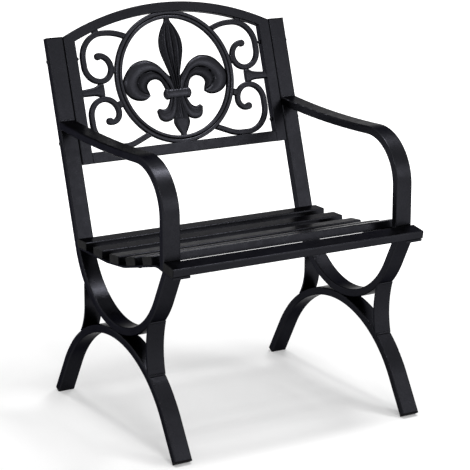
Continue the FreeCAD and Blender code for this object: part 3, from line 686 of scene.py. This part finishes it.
class ARMCHAIR_OT_ring(bpy.types.Operator):
    """Casts the ring as two rounded beads with a deep groove between them"""

    bl_idname = "armchair.ring"
    bl_label = "Ring"

    def execute(self, context):
        # A profile carried round the ring's centre, the back like the front. Over each bead the
        # depth is ring_depth times 0.42 + 0.58 (1 - (2 distance / bead)^2)^0.55, and it closes at
        # the ring's edges as 8 sin(pi share), 1 at most.
        casting = context.scene.armchair_casting
        band = casting.ring_band / panel_frame()[1]
        count, across = RING_GRID
        turn = np.linspace(0, 2 * math.pi, count, endpoint=False)[:, None]
        share = (1 - np.cos(np.linspace(0, math.pi, across))) / 2
        inside = hill(share / RING_SPLIT - 0.5, 0.5)
        outside = hill((share - RING_SPLIT) / (1 - RING_SPLIT) - 0.5, 0.5)
        crown = np.where(share < RING_SPLIT, inside, outside) ** 1.1
        closed = np.clip(np.sin(math.pi * share) * 8, 0, 1)
        front = casting.ring_depth * (RING_FLOOR + (1 - RING_FLOOR) * crown) * closed
        reach = 1 + band * np.concatenate([share, share[-2:0:-1]])
        depths = np.concatenate([front, -front[-2:0:-1]])[None, :]
        # Painted highlight on the beads' crowns, painted shade in the groove and at the edges;
        # none on the back
        painted_shading = np.concatenate([1.8 * crown - 1, np.zeros(across - 2)])
        rows = in_panel(np.cos(turn) * reach, np.sin(turn) * reach, depths)
        painted_shading = np.broadcast_to(painted_shading, rows.shape[:2])
        cast_piece("ring_relief", [loft(rows, painted_shading, ring=True)], "ornament_ring")
        return {"FINISHED"}


class ARMCHAIR_OT_brackets(bpy.types.Operator):
    """Casts the bars that flare from the stiles into the necks of the scrolls"""

    bl_idname = "armchair.brackets"
    bl_label = "Side brackets"

    def execute(self, context):
        depth = context.scene.armchair_casting.bar_depth
        points, groups, painted_shading = between_edges(BRACKET_BASE, BRACKET_TOP, BRACKET_GRID,
                                               lambda along, share: depth, 0, depth)
        bar = points, groups, np.zeros_like(painted_shading)
        for side, surface in (("left", mirrored(bar)), ("right", bar)):
            cast_piece("bracket_relief_" + side, [surface], "side_bracket_" + side)
        return {"FINISHED"}


# ---------------------------------------------------------------- welds


# Joints of tubes in the side frame, where beads run across it: (y, z) in metres
WELDS = ((0.2122, 0.6314), (0.2064, 0.6129), (-0.2400, 0.4101), (-0.0260, 0.2214),
         (-0.0476, 0.2201), (-0.2502, 0.4034), (-0.2691, 0.4004), (0.1272, 0.3635),
         (-0.1863, 0.2725), (-0.1939, 0.2797), (-0.1829, 0.1677), (-0.1892, 0.1628),
         (0.1055, 0.2908), (0.1005, 0.2852), (0.1275, 0.1781), (0.1173, 0.1844))
# Ripples along a bead, and their height as a share of its radius
RIPPLES, RIPPLE_HEIGHT = 11, 0.12
# Sections along a bead, and points round it
BEAD_GRID = 70, 16


def weld_bead(y, z, start, end, radius):
    """Rippled bead along x: radius r (1 + 0.12 |sin(11 pi t)|) (1 - |2 t - 1|^12)^(1/2)."""
    count, around = BEAD_GRID
    along = np.linspace(0, 1, count)[:, None]
    turn = np.linspace(0, 2 * math.pi, around, endpoint=False)
    ripple = 1 + RIPPLE_HEIGHT * np.abs(np.sin(math.pi * RIPPLES * along))
    size = radius * ripple * (1 - np.abs(2 * along - 1) ** 12) ** 0.5
    x = np.broadcast_to(start + (end - start) * along, BEAD_GRID)
    return loft(np.stack([x, y + size * np.cos(turn), z + size * np.sin(turn)], axis=-1))


class ARMCHAIR_OT_welds(bpy.types.Operator):
    """Lays small weld beads where the tubes of each side frame meet"""

    bl_idname = "armchair.welds"
    bl_label = "Welds"

    def execute(self, context):
        weld = context.scene.armchair_weld
        low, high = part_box("armrest_left")
        inset = weld.inset
        beads = [weld_bead(y, z, low[0] + inset, high[0] - inset, weld.radius) for y, z in WELDS]
        for side, own in (("left", beads), ("right", [mirrored(bead) for bead in beads])):
            piece("weld_beads_" + side, own, "black_coated_tube")
        return {"FINISHED"}


# ---------------------------------------------------------------- stage


# Camera sensor, in millimetres
SENSOR_WIDTH = 36.0
WHITE = (1, 1, 1, 1)
# Points that the soft boxes and the glint lamp face
CHAIR_MIDDLE = (0, 0, 0.5)
ARM_HEIGHT = (0, 0, 0.6)


def placed(name, data):
    """A new object in the scene."""
    thing = bpy.data.objects.new(name, data)
    bpy.context.scene.collection.objects.link(thing)
    return thing


def lamp(name, place, target, size, power):
    """Square area lamp that faces a point."""
    data = bpy.data.lights.new(name, "AREA")
    data.size = size
    data.energy = power
    thing = placed(name, data)
    thing.location = place
    direction = np.array(target) - np.array(place)
    thing.rotation_euler = (math.acos(-direction[2] / np.linalg.norm(direction)), 0,
                            math.atan2(direction[1], direction[0]) - math.pi / 2)


def seen_or_mirrored(tree):
    """1 for rays from the camera or off a glossy or clear surface, otherwise 0."""
    path = node(tree, "ShaderNodeLightPath")
    largest = path.outputs["Is Camera Ray"]
    for ray in ("Is Glossy Ray", "Is Transmission Ray"):
        larger = node(tree, "ShaderNodeMath", operation="MAXIMUM")
        tree.links.new(largest, larger.inputs[0])
        tree.links.new(path.outputs[ray], larger.inputs[1])
        largest = larger.outputs[0]
    return largest


def pale_floor(colour, glow, near, far):
    """Paint that keeps shadows; seen or mirrored it is lifted, and to white far from the chair."""
    material = bpy.data.materials.new("pale_floor")
    tree = emptied(material)
    paint = node(tree, "ShaderNodeBsdfDiffuse", {"Color": (colour, colour, colour, 1)})
    place = node(tree, "ShaderNodeTexCoord")
    away = node(tree, "ShaderNodeVectorMath", operation="LENGTH")
    lift = node(tree, "ShaderNodeMapRange",
                {"From Min": near, "From Max": far, "To Min": glow, "To Max": 1.0},
                interpolation_type="SMOOTHSTEP")
    share = node(tree, "ShaderNodeMath", operation="MULTIPLY")
    light = node(tree, "ShaderNodeEmission", {"Color": WHITE})
    both = node(tree, "ShaderNodeAddShader")
    output = node(tree, "ShaderNodeOutputMaterial")
    tree.links.new(place.outputs["Object"], away.inputs[0])
    tree.links.new(away.outputs["Value"], lift.inputs["Value"])
    tree.links.new(seen_or_mirrored(tree), share.inputs[0])
    tree.links.new(lift.outputs["Result"], share.inputs[1])
    tree.links.new(share.outputs[0], light.inputs["Strength"])
    tree.links.new(paint.outputs[0], both.inputs[0])
    tree.links.new(light.outputs[0], both.inputs[1])
    tree.links.new(both.outputs[0], output.inputs["Surface"])
    return material


def white_room(strength):
    """World of plain light, white where it is seen or mirrored."""
    world = bpy.data.worlds.new("white_room")
    tree = emptied(world)
    spread = node(tree, "ShaderNodeMapRange", {"To Min": strength, "To Max": 1.0})
    room = node(tree, "ShaderNodeBackground", {"Color": WHITE})
    output = node(tree, "ShaderNodeOutputWorld")
    tree.links.new(seen_or_mirrored(tree), spread.inputs["Value"])
    tree.links.new(spread.outputs["Result"], room.inputs["Strength"])
    tree.links.new(room.outputs[0], output.inputs["Surface"])
    return world


class ARMCHAIR_OT_stage(bpy.types.Operator):
    """Sets the camera, the pale floor, the lamps and the white surroundings"""

    bl_idname = "armchair.stage"
    bl_label = "Stage"

    def execute(self, context):
        stage = context.scene.armchair_stage
        data = bpy.data.cameras.new("camera")
        data.sensor_width = SENSOR_WIDTH
        data.lens = stage.lens
        camera = placed("camera", data)
        camera.location = stage.camera_place
        camera.rotation_euler = (math.pi / 2 - stage.camera_elevation, 0, stage.camera_azimuth)
        context.scene.camera = camera

        half = stage.floor_size / 2
        mesh = bpy.data.meshes.new("floor")
        corners = [(-half, -half, 0), (half, -half, 0), (half, half, 0), (-half, half, 0)]
        mesh.from_pydata(corners, [], [(0, 1, 2, 3)])
        mesh.materials.append(pale_floor(stage.floor_colour, stage.floor_glow, stage.floor_near,
                                         stage.floor_far))
        floor = placed("floor", mesh)

        sun = bpy.data.lights.new("overhead", "SUN")
        sun.energy = stage.overhead_power
        sun.angle = stage.overhead_spread
        overhead = placed("overhead", sun)
        overhead.rotation_euler = stage.overhead_turn
        lamp("front_box", stage.front_place, CHAIR_MIDDLE, stage.front_size, stage.front_power)
        lamp("high_box", stage.high_place, CHAIR_MIDDLE, stage.high_size, stage.high_power)
        lamp("glint", stage.glint_place, ARM_HEIGHT, stage.glint_size, stage.glint_power)
        context.scene.world = white_room(stage.sky)
        context.scene.view_settings.view_transform = "Standard"
        return {"FINISHED"}


# ---------------------------------------------------------------- panel


class ARMCHAIR_PT_panel(bpy.types.Panel):
    """Lists the chair's pieces and the stage"""

    bl_idname = "ARMCHAIR_PT_panel"
    bl_label = "Armchair"
    bl_space_type = "VIEW_3D"
    bl_region_type = "UI"
    bl_category = "Armchair"

    def draw(self, context):
        for group_name, _ in GROUPS:
            group = getattr(context.scene, group_name)
            box = self.layout.box()
            for name in group.bl_rna.properties.keys():
                if name not in ("rna_type", "name"):
                    box.prop(group, name)
        for operator in OPERATORS:
            self.layout.operator(operator.bl_idname)


GROUPS = (("armchair_finish", ArmchairFinish), ("armchair_casting", ArmchairCasting),
          ("armchair_weld", ArmchairWeld), ("armchair_stage", ArmchairStage))
OPERATORS = (ARMCHAIR_OT_finishes, ARMCHAIR_OT_fleur, ARMCHAIR_OT_ring, ARMCHAIR_OT_brackets,
             ARMCHAIR_OT_welds, ARMCHAIR_OT_stage)


def register():
    """Adds the settings, operators and panel to Blender."""
    for name, group in GROUPS:
        bpy.utils.register_class(group)
        setattr(bpy.types.Scene, name, bpy.props.PointerProperty(type=group))
    for operator in OPERATORS:
        bpy.utils.register_class(operator)
    bpy.utils.register_class(ARMCHAIR_PT_panel)


def unregister():
    """Takes them out again, in the opposite order."""
    bpy.utils.unregister_class(ARMCHAIR_PT_panel)
    for operator in reversed(OPERATORS):
        bpy.utils.unregister_class(operator)
    for name, group in reversed(GROUPS):
        delattr(bpy.types.Scene, name)
        bpy.utils.unregister_class(group)


def main():
    """Builds the looks in order."""
    register()
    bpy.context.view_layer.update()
    bpy.ops.armchair.finishes()
    bpy.ops.armchair.fleur()
    bpy.ops.armchair.ring()
    bpy.ops.armchair.brackets()
    bpy.ops.armchair.welds()
    bpy.ops.armchair.stage()


if __name__ == "__main__":
    main()
